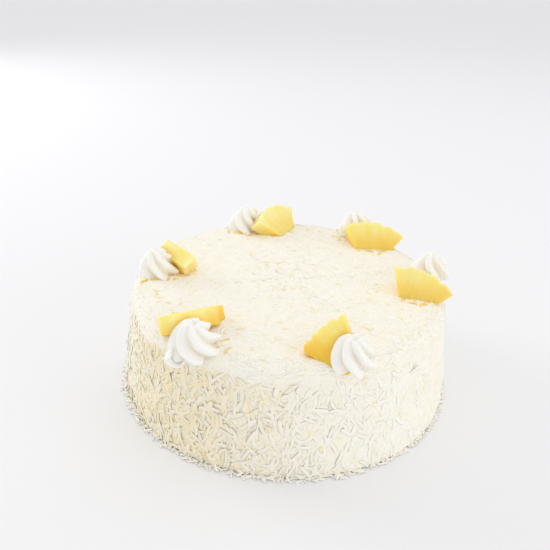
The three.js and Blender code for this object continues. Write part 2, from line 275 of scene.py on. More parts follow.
class Finish:
    """A node material for one of the cake's surfaces."""

    def __init__(self, name):
        self.material = bpy.data.materials.new(name)
        self.material.use_nodes = True
        self.tree = self.material.node_tree
        self.tree.nodes.clear()

    def node(self, kind, output=0, settings=None, stops=(), **sockets):
        """Adds a node with its settings, feeds its sockets and returns one of its outputs."""
        node = self.tree.nodes.new("ShaderNode" + kind)
        for name, value in (settings or {}).items():
            setattr(node, name, value)
        for index, (place, colour) in enumerate(stops):
            ramp = node.color_ramp.elements
            stop = ramp[index] if index < 2 else ramp.new(place)
            stop.position = place
            stop.color = (*colour, 1.0)
        for name, value in sockets.items():
            feed(self.tree, self.find(node, name), value)
        return Signal(self.tree, node.outputs[output])

    @staticmethod
    def find(node, name):
        """The enabled input whose name, in lower case with underscores, is asked for."""
        wanted = name.replace("_", " ").lower()
        return next(s for s in node.inputs if s.enabled and s.name.lower() == wanted)

    def mix(self, factor, first, second):
        first, second = (c if isinstance(c, Signal) else (*c, 1.0) for c in (first, second))
        return self.node("Mix", 2, {"data_type": "RGBA"}, factor=factor, a=first, b=second)

    def place(self):
        return self.node("TexCoord", 3)

    def noted(self, name):
        """A number noted at each point of the mesh."""
        return self.node("Attribute", 2, {"attribute_name": name})

    def grain(self, scale, detail=2.0, roughness=0.5, vector=None):
        return self.node(
            "TexNoise", scale=scale, detail=detail, roughness=roughness, vector=vector or self.place()
        )

    def band(self, value, low, high):
        """0 below low, 1 above high and smooth between."""
        smooth = {"interpolation_type": "SMOOTHSTEP"}
        return self.node("MapRange", 0, smooth, value=value, from_min=low, from_max=high)

    def bump(self, height, distance, strength):
        return self.node("Bump", height=height, distance=distance, strength=strength)

    def surface(self, **sockets):
        shader = self.node("BsdfPrincipled", 0, {"subsurface_method": "RANDOM_WALK"}, **sockets)
        output = self.tree.nodes.new("ShaderNodeOutputMaterial")
        self.tree.links.new(shader.socket, output.inputs["Surface"])
        return self.material


def coconut_finish(colours):
    """Shreds whose tint runs from dry white through cream and pale yellow to soaked gold; the tint also
    carries painted shade, warm in the coat's crevices and on its shaded front left.
    """
    finish = Finish("shredded_coconut")
    shade = finish.noted("tint") + (finish.grain(700.0, 3.0) - 0.5) * 0.16
    stops = (
        (0.0, colours.coconut), (1.0, colours.juice),
        (0.35, colours.coconut_warm), (0.72, colours.coconut_yellow),
    )
    return finish.surface(
        base_color=finish.node("ValToRGB", stops=stops, fac=shade),
        roughness=0.62 + finish.grain(1500.0) * 0.2,
        normal=finish.bump(finish.grain(1800.0, 3.0), 0.12 * MM, 0.5),
        specular_ior_level=0.25,
    )


def under_cream_finish(colours):
    finish = Finish("cream_under_coat")
    mottle = finish.band(finish.grain(160.0, 4.0), 0.35, 0.65)
    return finish.surface(
        base_color=finish.mix(mottle, colours.under_cream, colours.coconut_warm),
        roughness=0.7 + mottle * 0.1,
        normal=finish.bump(finish.grain(900.0, 4.0), 0.3 * MM, 0.5),
    )


def whipped_cream_finish(colours):
    finish = Finish("whipped_cream")
    soft = finish.grain(90.0)
    base = finish.mix(soft * 0.3, colours.cream, colours.coconut)
    # Painted shade: cream deep in the folds turns towards a warm colour that stands in for the shade there
    deep = finish.band(finish.noted("fold") + soft * 0.2, 0.4, 1.1)
    fluff = finish.grain(1100.0, 5.0, 0.6)
    return finish.surface(
        base_color=finish.mix(deep * 0.5, base, colours.painted_fold_shade),
        roughness=0.42 + fluff * 0.16, normal=finish.bump(fluff, 0.16 * MM, 0.5),
        subsurface_weight=0.35, subsurface_radius=(1.0, 0.95, 0.85), subsurface_scale=2.0 * MM,
        specular_ior_level=0.4,
    )


def pineapple_finish(colours):
    """Flesh with pale fibres that run out from the core and a pale rim, with painted shade: deeper gold
    towards the foot and next to the rosette.
    """
    finish = Finish("pineapple_flesh")
    grain = finish.node("UVMap", 0, {"uv_map": "grain"})
    fibres = finish.grain(1.0, 3.0, 0.6, finish.node("Mapping", vector=grain, scale=(34.0, 2.2, 1.0)))
    bundles = finish.grain(1.0, 1.0, 0.5, finish.node("Mapping", vector=grain, scale=(9.0, 1.6, 1.0)))
    rim = finish.band(finish.node("SeparateXYZ", 1, vector=grain), 0.86, 0.99)
    height = finish.node("SeparateXYZ", 2, vector=finish.place())
    # Painted shade: the flesh turns deep gold towards the wedge's foot, where it meets the cake
    foot = 1.0 - finish.band(height, 74 * MM, 86 * MM)
    streaks = finish.band(fibres, 0.45, 0.75) * 0.6
    ripe = finish.noted("ripe")
    pale = 1.0 - ripe * 0.6
    bundled = finish.band(bundles, 0.35, 0.65) * 0.6 * pale + (1.0 - ripe) * 0.3
    flesh = colours.flesh
    for share in (bundled, streaks * pale, rim * 0.95 * pale):
        flesh = finish.mix(share, flesh, colours.flesh_pale)
    # Painted shade: deep gold at the foot and where the rosette shades the wedge
    for share in (foot * (0.3 + ripe * 0.6), finish.noted("wet") * 0.65):
        flesh = finish.mix(share, flesh, colours.flesh_in_shade)
    return finish.surface(
        base_color=flesh, roughness=0.3 + streaks * 0.2, normal=finish.bump(fibres, 0.2 * MM, 0.6),
        subsurface_weight=0.7, subsurface_radius=(1.0, 0.62, 0.15), subsurface_scale=6.0 * MM,
        specular_ior_level=0.8,
    )


def floor_finish(colours):
    finish = Finish("floor_paint")
    base = finish.mix(finish.grain(2.0), colours.floor, tuple(c * 0.985 for c in colours.floor))
    return finish.surface(base_color=base, roughness=0.8, specular_ior_level=0.1)


def editing(select_mode):
    bpy.ops.object.mode_set(mode="EDIT")
    bpy.ops.mesh.select_mode(type=select_mode)


def choose(kind, test):
    """Selects only the vertices, edges or faces of the edited mesh that pass a test."""
    mesh = bmesh.from_edit_mesh(bpy.context.object.data)
    for element in (*mesh.verts, *mesh.edges, *mesh.faces):
        element.select = False
    for element in getattr(mesh, kind):
        if test(element):
            element.select_set(True)
    mesh.select_flush_mode()
    bmesh.update_edit_mesh(bpy.context.object.data)


def runs_along(edge, axis):
    a, b = (v.co for v in edge.verts)
    return abs((b - a).normalized()[axis]) > 0.99


def face_outward():
    bpy.ops.mesh.select_all(action="SELECT")
    bpy.ops.mesh.normals_make_consistent(inside=False)


def soften(piece, levels):
    """Leaves edit mode, subdivides the piece and shades it smooth."""
    bpy.ops.object.mode_set(mode="OBJECT")
    bpy.ops.object.modifier_add(type="SUBSURF")
    modifier = piece.modifiers[-1]
    modifier.levels = modifier.render_levels = levels
    bpy.ops.object.modifier_apply(modifier=modifier.name)
    bpy.ops.object.shade_smooth()


def points_of(mesh):
    places = np.empty(len(mesh.vertices) * 3)
    mesh.vertices.foreach_get("co", places)
    return places.reshape(-1, 3)


def move_points(mesh, places):
    mesh.vertices.foreach_set("co", places.reshape(-1))
    mesh.update()


def note(mesh, name, values):
    """Notes a number at each point of a mesh, for its finish."""
    layer = mesh.attributes.new(name, "FLOAT", "POINT")
    layer.data.foreach_set("value", values.reshape(-1).astype(np.float32))


def polar(azimuth, radius, height=0.0):
    a = math.radians(azimuth)
    return CAKE_MIDDLE + Vector((radius * math.cos(a), radius * math.sin(a), height))


def placed(place, *turns):
    """The move to a place after turns in degrees about axes, of which the last is made first."""
    matrix = Matrix.Translation(place)
    for degrees, axis in turns:
        matrix = matrix @ Matrix.Rotation(math.radians(degrees), 4, axis)
    return matrix


def finished(piece, name, material, slot, *nodes):
    """Names a finished piece, gives it its finish and lets it ride on the cake."""
    if not piece.data.polygons:
        raise RuntimeError(f"{name} came out empty")
    piece.name = piece.data.name = name
    piece.data.materials.clear()
    piece.data.materials.append(material)
    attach(piece, BODY)
    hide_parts(*nodes)


def noise_at(places, scale, offset=(0, 0, 0)):
    """Soft noise from -1 to 1 at each place, with so many waves to a metre."""
    return np.array([noise.noise(Vector(p) * scale + Vector(offset)) for p in places])


def lump(angle, height):
    """The waves of the hand-spread cream, from -1 to 1."""
    return sum(np.sin(count * angle + height / pitch) for count, pitch in LUMP_WAVES) / len(LUMP_WAVES)


def shoulder_radii(cake):
    """Radii at which the shoulder leaves the side and meets the flat of the top."""
    share = 1 - cake.shoulder / cake.height
    return cake.foot_radius + (cake.top_radius - cake.foot_radius) * share, cake.top_radius - cake.shoulder


def on_side(cake, radius):
    """1 on the side, falling to 0 where the shoulder meets the flat of the top."""
    outer, inner = shoulder_radii(cake)
    return np.clip((radius - inner) / (outer - inner), 0, 1)


def side_relief(cake, places):
    """How far the lumps and hollows push the cream out at places on the side and shoulder."""
    x, y = places[:, 0] - CAKE_MIDDLE.x, places[:, 1] - CAKE_MIDDLE.y
    lumps = cake.lump_depth * lump(np.arctan2(y, x), places[:, 2])
    return on_side(cake, np.hypot(x, y)) * (lumps + cake.swell * noise_at(places, SWELLS_PER_METRE))


def side_skin(cake, angle, travel):
    """Places and outward normals on the cream at a distance up the side and on over the shoulder."""
    straight = cake.height - cake.shoulder
    flare = (cake.top_radius - cake.foot_radius) / cake.height
    turn = np.clip((travel - straight) / cake.shoulder, 0, math.pi / 2)
    height = np.minimum(travel, straight) + cake.shoulder * np.sin(turn)
    slant = shoulder_radii(cake)[0] - cake.top_radius
    radius = cake.foot_radius + flare * np.minimum(travel, straight)
    radius = radius - cake.shoulder * (1 - np.cos(turn)) - slant * np.sin(turn)
    turned = on_side(cake, radius)
    wave = lump(angle, height)
    radius = radius + cake.lump_depth * wave * turned
    height = height - cake.lump_depth * TOP_DIP * (1 + wave) * (1 - turned)
    out = np.stack([np.cos(angle), np.sin(angle), np.zeros_like(angle)], 1)
    places = out * radius[:, None] + np.outer(height, UP) + MIDDLE
    places += out * (cake.swell * noise_at(places, SWELLS_PER_METRE) * turned)[:, None]
    rising = np.sin(turn) - flare * np.cos(turn)
    return places, unit(out * np.cos(turn)[:, None] + np.outer(rising, UP))


def top_skin(cake, angle, radius):
    """Places and upward normals on the flat of the top."""
    height = cake.height - cake.lump_depth * TOP_DIP * (1 + lump(angle, cake.height))
    places = np.stack([radius * np.cos(angle), radius * np.sin(angle), height], 1) + MIDDLE
    return places, np.tile(UP, (len(angle), 1))


def even_draws(rng, count):
    """Pairs from 0 to 1 that cover the square evenly without rows."""
    steps = np.arange(count)[:, None] * np.array(EVEN_STEPS)
    return (steps + rng.normal(0, 0.35 / math.sqrt(count), (count, 2))) % 1


def flake_template(cuts):
    """A straight flake, one long, one wide and one thick, blunt and sloping, as places and faces."""
    bpy.ops.mesh.primitive_cube_add(size=1)
    editing("EDGE")
    choose("edges", lambda e: runs_along(e, 0))
    bpy.ops.mesh.subdivide(number_cuts=cuts)
    bpy.ops.mesh.select_mode(type="VERT")
    for axis, end, shares in FLAKE_TAPERS:
        choose("verts", lambda v: v.co[axis] * end > 0.2)
        bpy.ops.transform.resize(value=shares, center_override=Matrix.Identity(3)[axis] * end)
    bpy.ops.object.mode_set(mode="OBJECT")
    flake = bpy.context.object
    places = points_of(flake.data)
    faces = np.array([tuple(f.vertices) for f in flake.data.polygons])
    bpy.data.objects.remove(flake)
    return places, faces


def unit(vectors):
    return vectors / np.linalg.norm(vectors, axis=1, keepdims=True)


def lay_shreds(name, cuts, skin, ups, out, sizes, angles, bends, tint, crevice_shade_strength, relief=None):
    """Joins bent copies of the flake into one piece of the coat.

    skin holds where on the cream each lies and which way is outwards there, ups which way is up.
    out is how far its middle stands off the cream, sizes its length, width and thickness, angles
    its spin, lift and roll, and bends how far its middle is bowed sideways and outwards. What lies
    deep in the coat gets painted shade, a warm tint that stands in for the shade in its crevices,
    as strong as given. relief, if given, tells how far lumps push the cream out at a place, and the
    shreds follow those lumps.
    """
    places, normals = skin
    flake, faces = flake_template(cuts)
    count = len(places)
    spin, lift, roll = (angles[:, i:i + 1] for i in range(3))
    across = unit(np.cross(ups, normals))
    along = np.cross(normals, across)
    flat = np.cos(spin) * across + np.sin(spin) * along
    axis = np.cos(lift) * flat + np.sin(lift) * normals
    face = np.cos(lift) * normals - np.sin(lift) * flat
    face = np.cos(roll) * face + np.sin(roll) * np.cross(face, axis)
    side = np.cross(face, axis)
    local = flake[None] * sizes[:, None]
    arch = 1 - 4 * flake[None, :, 0] ** 2
    local[:, :, 1] += bends[:, 0:1] * arch
    local[:, :, 2] += bends[:, 1:2] * arch
    rise = out + np.abs(np.sin(lift[:, 0])) * sizes[:, 0] * END_RISE
    offset = sum(local[:, :, i:i + 1] * way[:, None] for i, way in enumerate((axis, side, face)))
    offset = offset + (normals * rise[:, None])[:, None]
    points = offset + places[:, None]
    if relief:
        follow = relief(points.reshape(-1, 3)).reshape(count, -1) - relief(places)[:, None]
        points += normals[:, None] * follow[:, :, None]
    points[:, :, 2] += np.maximum(0, FLOOR_GAP - points[:, :, 2].min(axis=1))[:, None]
    # Painted shade: shreds lying deep in the coat are tinted warm to stand in for the shade in its crevices
    depth = np.clip(1 - (offset * normals[:, None]).sum(2) / CREVICE_SHADE_DEPTH, 0, 1.4)
    crevice_shade_tint = np.broadcast_to(crevice_shade_strength, count)[:, None] * depth
    tints = np.clip(tint[:, None] + crevice_shade_tint * (1 - tint[:, None]) ** 2, 0, 1)
    quads = (faces[None] + (np.arange(count) * len(flake))[:, None, None]).reshape(-1, 4)
    mesh = bpy.data.meshes.new(name)
    mesh.vertices.add(count * len(flake))
    mesh.vertices.foreach_set("co", points.reshape(-1))
    mesh.loops.add(quads.size)
    mesh.loops.foreach_set("vertex_index", quads.reshape(-1).astype(np.int32))
    mesh.polygons.add(len(quads))
    mesh.polygons.foreach_set("loop_start", np.arange(0, quads.size, 4, dtype=np.int32))
    mesh.update(calc_edges=True)
    note(mesh, "tint", tints)
    piece = bpy.data.objects.new(name, mesh)
    bpy.context.scene.collection.objects.link(piece)
    finish = bpy.data.materials.get("shredded_coconut")
    finish = finish or coconut_finish(bpy.context.scene.cake_colours)
    finished(piece, name, finish, "coconut_coat", "cake_body")


def shred_sizes(rng, count, length, width, thickness):
    """Sizes spread about a mean size."""
    lengths, widths = rng.normal(1, 0.24, count), rng.normal(1, 0.2, count)
    spread = np.stack([lengths, widths, rng.uniform(0.8, 1.25, count)], 1)
    return np.clip(spread, 0.45, 1.6) * np.array((length, width, thickness))


def shred_angles(rng, count, lift, roll):
    """Any spin, with a little lift and roll."""
    spins, lifts = rng.uniform(0, math.pi, count), rng.normal(0, lift, count)
    return np.stack([spins, lifts, rng.normal(0, roll, count)], 1)


def shred_tint(rng, count, mean, spread, yellow):
    """Tints about a mean, with a share of yellow ones among them."""
    tint = np.clip(rng.normal(mean, spread, count), 0, 0.6)
    return np.where(rng.random(count) < yellow, rng.uniform(0.35, 0.6, count), tint)


def shadier(angle):
    """Painted shade: how much the coat's tint turns warm towards the front left, where the side lies in
    shade.
    """
    return 0.36 * np.clip(np.cos(angle - SHADIEST), 0, 1) ** 3


def rugged(angle):
    """How far the shreds stand up: fully at the front left, a little behind, hardly at the right."""
    behind = np.clip(np.cos(angle - BEHIND), 0, 1) ** 0.7
    return 0.04 + 0.24 * behind + 0.72 * (0.5 + 0.5 * np.cos(angle - ROUGHEST)) ** 4


def on_rim(edge, height, radius):
    return all(
        abs(v.co.z - height) < 1e-5 and (v.co - CAKE_MIDDLE).to_2d().length > radius for v in edge.verts
    )


def spread_unevenly(mesh, cake):
    """Waves in the side and a slightly dipped top, as a palette knife leaves them."""
    places = points_of(mesh) - MIDDLE
    angle = np.arctan2(places[:, 1], places[:, 0])
    radius = np.hypot(places[:, 0], places[:, 1])
    turned = on_side(cake, radius)
    lifted = places[:, 2] > cake.foot_bevel / 2
    wave = lump(angle, places[:, 2])
    out = 1 + lifted * cake.lump_depth * wave * turned / np.maximum(radius, 0.01)
    places[:, :2] *= out[:, None]
    dip = cake.lump_depth * TOP_DIP * (1 + np.where(radius < 0.01, 0, wave))
    places[:, 2] -= (1 - turned) * lifted * dip
    soft = noise_at(places + MIDDLE, SWELLS_PER_METRE) * cake.swell * turned * lifted
    places[:, :2] *= (1 + soft / np.maximum(radius, 0.01))[:, None]
    move_points(mesh, places + MIDDLE)


class CAKE_OT_core(Operator):
    """Model the cake's cream-covered core"""

    bl_idname = "cake.core"
    bl_label = "Cream core"

    def execute(self, context):
        cake = context.scene.cake_sizes
        middle = CAKE_MIDDLE + Vector((0, 0, cake.height / 2))
        bpy.ops.mesh.primitive_cylinder_add(
            vertices=CORE_SIDES, radius=cake.foot_radius, depth=cake.height, location=middle
        )
        core = context.object
        bpy.ops.object.transform_apply(location=True)
        editing("FACE")
        choose("faces", lambda f: f.normal.z > 0.9)
        share = cake.top_radius / cake.foot_radius
        bpy.ops.transform.resize(value=(share, share, 1), center_override=middle)
        for _ in range(TOP_RINGS):
            bpy.ops.mesh.inset(thickness=cake.shoulder * 1.3)
        bpy.ops.mesh.poke()
        bpy.ops.mesh.select_mode(type="EDGE")
        rim = cake.top_radius * 0.995
        choose("edges", lambda e: on_rim(e, cake.height, rim))
        bpy.ops.mesh.bevel(offset=cake.shoulder, segments=SHOULDER_STEPS, affect="EDGES")
        choose("edges", lambda e: on_rim(e, 0, rim))
        bpy.ops.mesh.bevel(offset=cake.foot_bevel, segments=2, affect="EDGES")
        choose("edges", lambda e: abs(e.verts[0].co.z - e.verts[1].co.z) > cake.height / 2)
        bpy.ops.mesh.subdivide(number_cuts=CORE_ROWS)
        bpy.ops.object.mode_set(mode="OBJECT")
        spread_unevenly(core.data, cake)
        bpy.ops.object.shade_smooth_by_angle(angle=math.radians(50))
        finish = under_cream_finish(context.scene.cake_colours)
        finished(core, "cream_core", finish, "coconut_coat", "cake_body")
        return {"FINISHED"}


class CAKE_OT_side_coat(Operator):
    """Press coconut shreds into the side in two layers, the outer one with its ends standing proud"""

    bl_idname = "cake.side_coat"
    bl_label = "Side coat"

    def execute(self, context):
        cake, coat = context.scene.cake_sizes, context.scene.coat_sizes
        rng = np.random.default_rng(SEEDS["side"])
        lowest, reach = 1.0 * MM, cake.height - cake.shoulder * 1.6
        for name, count, cuts, proud in (
            ("side_shreds_pressed", coat.side_pressed, 3, 0.0),
            ("side_shreds_proud", coat.side_proud, 4, 1.0),
        ):
            draws = even_draws(rng, count)
            # Smooth stretches of the side take fewer
            draws = draws[rng.random(count) <= 0.5 + 0.7 * rugged(draws[:, 0] * FULL_TURN)]
            count = len(draws)
            travel = lowest + draws[:, 1] * (reach - lowest)
            angle = draws[:, 0] * FULL_TURN
            relief = rugged(angle)
            sizes = shred_sizes(rng, count, coat.length, coat.width, coat.thickness)
            sizes[:, 2] *= 0.2 + 0.9 * relief
            upright = rng.random(count) < 0.5
            spin = np.where(upright, rng.normal(math.pi / 2, 0.5, count), rng.uniform(0, math.pi, count))
            lift = np.abs(rng.normal(0, 0.01 + 0.05 * proud, count)) * relief
            standing = (rng.random(count) < 0.02 * proud * relief) & (travel < reach - 4 * MM)
            lift = np.where(standing, rng.uniform(0.2, 0.4, count), lift) * rng.choice((-1, 1), count)
            roll = rng.normal(0, 0.03 + 0.12 * proud, count) * relief
            bow = rng.uniform(0.05, 0.3 + 0.35 * proud, count) * relief
            bends = np.stack([rng.normal(0, 0.9, count), bow], 1) * MM
            out = (relief * rng.uniform(-0.1, 0.2 + 0.4 * proud, count) - 0.12) * MM
            flare = np.clip(1 - travel / (12 * MM), 0, 1) * rng.uniform(0, 0.6, count) * MM * proud
            flare *= np.minimum(1, 0.05 + 1.4 * relief)
            below = sizes[:, 0] / 2 * np.abs(np.sin(spin)) * np.cos(lift)
            skin = side_skin(cake, angle, np.maximum(travel, below + 0.3 * MM))
            # Painted shade: the tint turns warm on the front left, where the side lies in shade
            tint = np.minimum(shred_tint(rng, count, 0.03, 0.08, 0.02) + shadier(angle), 0.58)
            angles = np.stack([spin, lift, roll], 1)
            # The painted crevice shade is stronger where the coat is rough
            lay_shreds(
                name, cuts, skin, np.tile(UP, (count, 1)), out + flare, sizes, angles, bends, tint,
                0.04 + 0.3 * relief, lambda places: side_relief(cake, places),
            )
        return {"FINISHED"}


class CAKE_OT_top_coat(Operator):
    """Press fine coconut shreds into the top and its shoulder"""

    bl_idname = "cake.top_coat"
    bl_label = "Top coat"

    def execute(self, context):
        cake, coat = context.scene.cake_sizes, context.scene.coat_sizes
        rng = np.random.default_rng(SEEDS["top"])
        draws = even_draws(rng, coat.top)
        radius = (cake.top_radius - cake.shoulder) * np.sqrt(draws[:, 1])
        flat = top_skin(cake, draws[:, 0] * FULL_TURN, radius)
        draws = even_draws(rng, coat.shoulder)
        start = cake.height - cake.shoulder * 1.5
        travel = start + draws[:, 1] * cake.shoulder * (0.5 + math.pi / 2)
        edge = side_skin(cake, draws[:, 0] * FULL_TURN, travel)
        skin = tuple(np.concatenate(pair) for pair in zip(flat, edge))
        count = len(skin[0])
        sizes = shred_sizes(rng, count, coat.fine_length, coat.fine_width, coat.fine_thickness)
        sizes[coat.top:, 2] *= 0.6
        angles = shred_angles(rng, count, 0.008, 0.03)
        bends = np.stack([rng.normal(0, 0.5, count), rng.uniform(0, 0.08, count)], 1) * MM
        travel = np.concatenate([np.full(coat.top, -1.0), travel])
        on_curve = np.clip((travel - start) / (0.5 * cake.shoulder), 0, 1)
        sag = on_curve * (sizes[:, 0] * np.sin(angles[:, 0])) ** 2 / (8 * cake.shoulder)
        bends[:, 1] += sag
        ups = np.tile((0.0, 1.0, 0.01), (count, 1))
        ups[coat.top:] = UP - skin[1][coat.top:] * np.array((0.3, 0.3, 0))
        out = rng.uniform(-0.13, -0.03, count) * MM - sag
        lay_shreds(
            "top_shreds", 2, skin, ups, out, sizes, angles, bends, shred_tint(rng, count, 0.06, 0.08, 0.03),
            0.1, lambda places: side_relief(cake, places),
        )
        return {"FINISHED"}


class CAKE_OT_foot_shreds(Operator):
    """Let some shreds lie where they fell, round the foot"""

    bl_idname = "cake.foot_shreds"
    bl_label = "Fallen shreds"

    def execute(self, context):
        cake, coat = context.scene.cake_sizes, context.scene.coat_sizes
        rng = np.random.default_rng(SEEDS["foot"])
        count = coat.foot
        angle = even_draws(rng, count)[:, 0] * FULL_TURN
        loose = 0.12 + rugged(angle)
        away = np.abs(rng.normal(0, 1.5, count)) * loose * MM
        radius = cake.foot_radius + 0.3 * MM + away
        out = np.stack([np.cos(angle), np.sin(angle), np.zeros(count)], 1)
        pile = np.clip(1 - away / (4 * MM), 0, 1) * rng.uniform(0, 1.6, count) * loose * MM
        skin = out * radius[:, None] + MIDDLE, np.tile(UP, (count, 1))
        sizes = shred_sizes(rng, count, coat.length * 0.6, coat.width * 0.6, coat.thickness)
        sizes *= np.clip(0.55 + loose, 0, 1)[:, None]
        lift = rng.uniform(0, 0.25, count) * (pile > 0.8 * MM) * rng.choice((-1, 1), count)
        angles = np.stack([rng.uniform(0, math.pi, count), lift, rng.normal(0, 0.1, count)], 1)
        bends = rng.normal(0, 1, (count, 2)) * np.array((0.7, 0.0)) * MM
        lay_shreds(
            "foot_shreds", 3, skin, out, pile + 0.4 * MM, sizes, angles, bends,
            shred_tint(rng, count, 0.08, 0.1, 0.04), 0.1,
        )
        return {"FINISHED"}


def topping_feet(scene):
    """Middle in plan and half size of the foot of each topping."""
    for (azimuth, radius, _, _, size, _), wedge in TOPPINGS:
        yield polar(azimuth, radius), scene.rosette_sizes.radius * size
        azimuth, radius, *_, size, _, _ = wedge
        yield polar(azimuth, radius), scene.wedge_sizes.core_radius * size


class CAKE_OT_soaked_shreds(Operator):
    """Scatter shreds that juice has turned yellow round the toppings and over the top"""

    bl_idname = "cake.soaked_shreds"
    bl_label = "Soaked shreds"

    def execute(self, context):
        cake, coat = context.scene.cake_sizes, context.scene.coat_sizes
        rng = np.random.default_rng(SEEDS["soaked"])
        spots, tints = [], []
        for middle, reach in topping_feet(context.scene):
            for _ in range(coat.soaked):
                a = rng.uniform(0, FULL_TURN)
                away = reach * rng.uniform(0.75, 1.18)
                spots.append((middle.x + away * math.cos(a), middle.y + away * math.sin(a)))
                tints.append(rng.uniform(0.78, 1.0))
        for _ in range(coat.stray):
            a, away = rng.uniform(0, FULL_TURN), cake.top_radius * math.sqrt(rng.uniform(0, 0.85))
            spots.append((CAKE_MIDDLE.x + away * math.cos(a), CAKE_MIDDLE.y + away * math.sin(a)))
            tints.append(rng.uniform(0.4, 0.66))
        x, y = (np.array(spots) - MIDDLE[:2]).T
        # None lies past the edge of the top
        inside = np.hypot(x, y) < cake.top_radius - cake.shoulder * 0.8
        x, y, tints = x[inside], y[inside], np.array(tints)[inside]
        count = len(x)
        skin = top_skin(cake, np.arctan2(y, x), np.hypot(x, y))
        sizes = shred_sizes(rng, count, coat.fine_length, coat.fine_width, coat.fine_thickness)
        angles = shred_angles(rng, count, 0.03, 0.08)
        bends = np.stack([rng.normal(0, 0.6, count), rng.uniform(0, 0.2, count)], 1) * MM
        out = rng.uniform(-0.08, 0.06, count) * MM
        ups = np.tile((0.0, 1.0, 0.0), (count, 1))
        lay_shreds("soaked_shreds", 2, skin, ups, out, sizes, angles, bends, tints, 0.0)
        return {"FINISHED"}


def dome_radius(heights, full_height, full_radius):
    """A rosette's radius over its folds at heights above its foot."""
    levels, widths = np.array(ROSETTE_RINGS[:RINGS_TO_CROWN]).T
    return np.interp(heights / full_height, levels, widths) * full_radius


def curl_cream(sizes):
    """The end of the first rosette's cream, curled over on itself below its foot."""
    bpy.ops.mesh.primitive_circle_add(vertices=CURL_SIDES, radius=sizes.curl_width / 2, fill_type="NGON")
    piece = bpy.context.object
    editing("FACE")
    bpy.ops.mesh.select_all(action="SELECT")
    bpy.ops.transform.resize(value=(CURL_FLATNESS, 1, 1))
    bow = Vector((sizes.curl_radius, 0, 0))
    for step in range(CURL_STEPS):
        bpy.ops.mesh.extrude_region_move(TRANSFORM_OT_translate={"value": (0, 0, 1e-5)})
        bpy.ops.transform.rotate(value=CURL_STEP_TURN, orient_axis="Y", center_override=bow)
        bpy.ops.transform.resize(value=(1 - CURL_NARROWING * step,) * 3)
    face_outward()
    soften(piece, 2)
    piece.data.transform(placed(CAKE_MIDDLE + CURL_PLACE, *CURL_TURNS) @ Matrix.Translation(-bow))
    return piece


def pipe_rosette(sizes, size, number):
    """Draws a star up ring by ring, then notes how deep in a fold each point lies, for the painted shade in
    the folds.
    """
    full_height, full_radius = sizes.height * size, sizes.radius * size
    bpy.ops.mesh.primitive_circle_add(
        vertices=sizes.lobes * POINTS_PER_FOLD, radius=full_radius * ROSETTE_FOOT, fill_type="NGON"
    )
    piece = bpy.context.object
    editing("VERT")
    for step, share in ((0, sizes.groove), *FOLD_SHAPE):
        choose("verts", lambda v: v.index % POINTS_PER_FOLD == step)
        bpy.ops.transform.resize(value=(share, share, 1), center_override=(0, 0, 0))
    bpy.ops.mesh.select_all(action="SELECT")
    bpy.ops.mesh.select_mode(type="FACE")
    level, width, middle = 0.0, ROSETTE_FOOT, Vector((0, 0, 0))
    tip = Vector((math.cos(number * 2.1), math.sin(number * 2.1), 0))
    for next_level, next_width in ROSETTE_RINGS:
        climb = next_level - level
        bend = max(0.0, climb) * max(0.0, next_level - 0.5) * full_radius * TIP_BEND
        move = tip * bend + Vector((0, 0, climb * full_height))
        bpy.ops.mesh.extrude_region_move(TRANSFORM_OT_translate={"value": move})
        middle += move
        share = next_width / width
        bpy.ops.transform.resize(value=(share, share, 1), center_override=middle)
        turn = sizes.twist * max(0.02, climb)
        bpy.ops.transform.rotate(value=turn, orient_axis="Z", center_override=middle)
        level, width = next_level, next_width
    bpy.ops.mesh.merge(type="CENTER")
    face_outward()
    soften(piece, 2)
    places = points_of(piece.data)
    share = np.hypot(places[:, 0], places[:, 1]) / dome_radius(places[:, 2], full_height, full_radius)
    below_crown = np.clip((0.9 - places[:, 2] / full_height) / 0.25, 0, 1)
    note(piece.data, "fold", np.clip((0.95 - share) / (0.95 - sizes.groove), 0, 1) * below_crown)
    return piece


def loosen(mesh, number):
    """The small unevenness of piped cream, another one for each number."""
    places = points_of(mesh)
    normals = np.empty(places.size)
    mesh.vertex_normals.foreach_get("vector", normals)
    own = Vector((number, 0, 0))
    noise.seed_set(SEEDS["cream"])
    coarse = np.array([noise.noise_vector(Vector(p) * COARSE_WAVES + own) for p in places])
    fine = normals.reshape(-1, 3) * noise_at(places, FINE_WAVES)[:, None]
    move_points(mesh, places + coarse * COARSE_DEPTH + fine * FINE_DEPTH)


class CAKE_OT_rosettes(Operator):
    """Pipe the whipped cream rosettes and the curl below the first"""

    bl_idname = "cake.rosettes"
    bl_label = "Cream rosettes"

    def execute(self, context):
        sizes = context.scene.rosette_sizes
        top = context.scene.cake_sizes.height
        finish = whipped_cream_finish(context.scene.cake_colours)
        for number, (rosette, _) in enumerate(TOPPINGS, 1):
            azimuth, radius, drop, lean, size, turn = rosette
            piece = pipe_rosette(sizes, size, number)
            foot = polar(azimuth, radius, top - drop)
            piece.data.transform(placed(foot, (azimuth, "Z"), (lean, "Y"), (turn, "Z")))
            loosen(piece.data, number)
            finished(piece, f"whipped_rosette_{number}", finish, "whipped_cream", f"rosette_{number}")
        curl = curl_cream(sizes)
        loosen(curl.data, 9)
        finished(curl, "whipped_curl", finish, "whipped_cream", "rosette_1")
        return {"FINISHED"}


